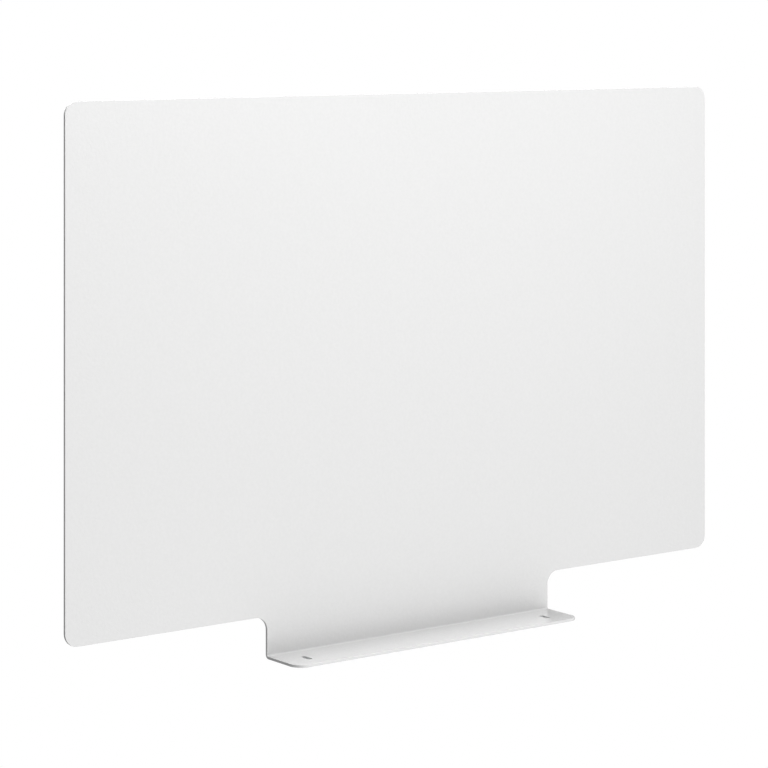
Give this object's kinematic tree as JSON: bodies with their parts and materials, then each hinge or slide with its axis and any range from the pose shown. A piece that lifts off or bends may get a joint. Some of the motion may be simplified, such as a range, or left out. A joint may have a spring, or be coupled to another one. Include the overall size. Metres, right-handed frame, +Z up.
{
  "type": "desk privacy panel",
  "caption": "Folded sheet-steel desk privacy panel: broad rounded field on a narrower neck that folds into a slotted flange, with the screws and washers that hang it under a desk top.",
  "frame": {"origin": "the middle of the flange's top face, which meets the underside of the desk top: on the panel's centre plane, 24.5 mm in front of the neck's front face", "axes": "+Z up, out of the flange's top face; +X along the panel's width; the face that looks over the desk faces -Y, and the flange reaches towards -Y"},
  "size_m": [0.762, 0.0515, 0.5219],
  "materials": {
    "white_powder_coat": "fine-texture white powder coat, satin, soft sheen at grazing angles",
    "zinc_plate": "bright zinc plating, satin"
  },
  "bodies": {
    "panel": {"formed_panel": "white_powder_coat"},
    "left_washer": {"left_washer": "zinc_plate"},
    "left_screw": {"left_mounting_screw": "zinc_plate"},
    "right_washer": {"right_washer": "zinc_plate"},
    "right_screw": {"right_mounting_screw": "zinc_plate"}
  },
  "joints": [
    {"name": "left_slot_adjust", "type": "slide", "parent": "panel", "child": "left_washer", "axis": [0, -1, 0], "range_m": [0, 0.009]},
    {"name": "right_slot_adjust", "type": "slide", "parent": "panel", "child": "right_washer", "axis": [0, -1, 0], "range_m": [0, 0.009]},
    {"name": "left_screw_drive", "type": "slide", "parent": "left_washer", "child": "left_screw", "axis": [0, 0, 1], "range_m": [0, 0.004]},
    {"name": "right_screw_drive", "type": "slide", "parent": "right_washer", "child": "right_screw", "axis": [0, 0, 1], "range_m": [0, 0.004]}
  ],
  "couplings": [
    {"joint": "right_slot_adjust", "follows": "left_slot_adjust", "ratio": 1}
  ]
}
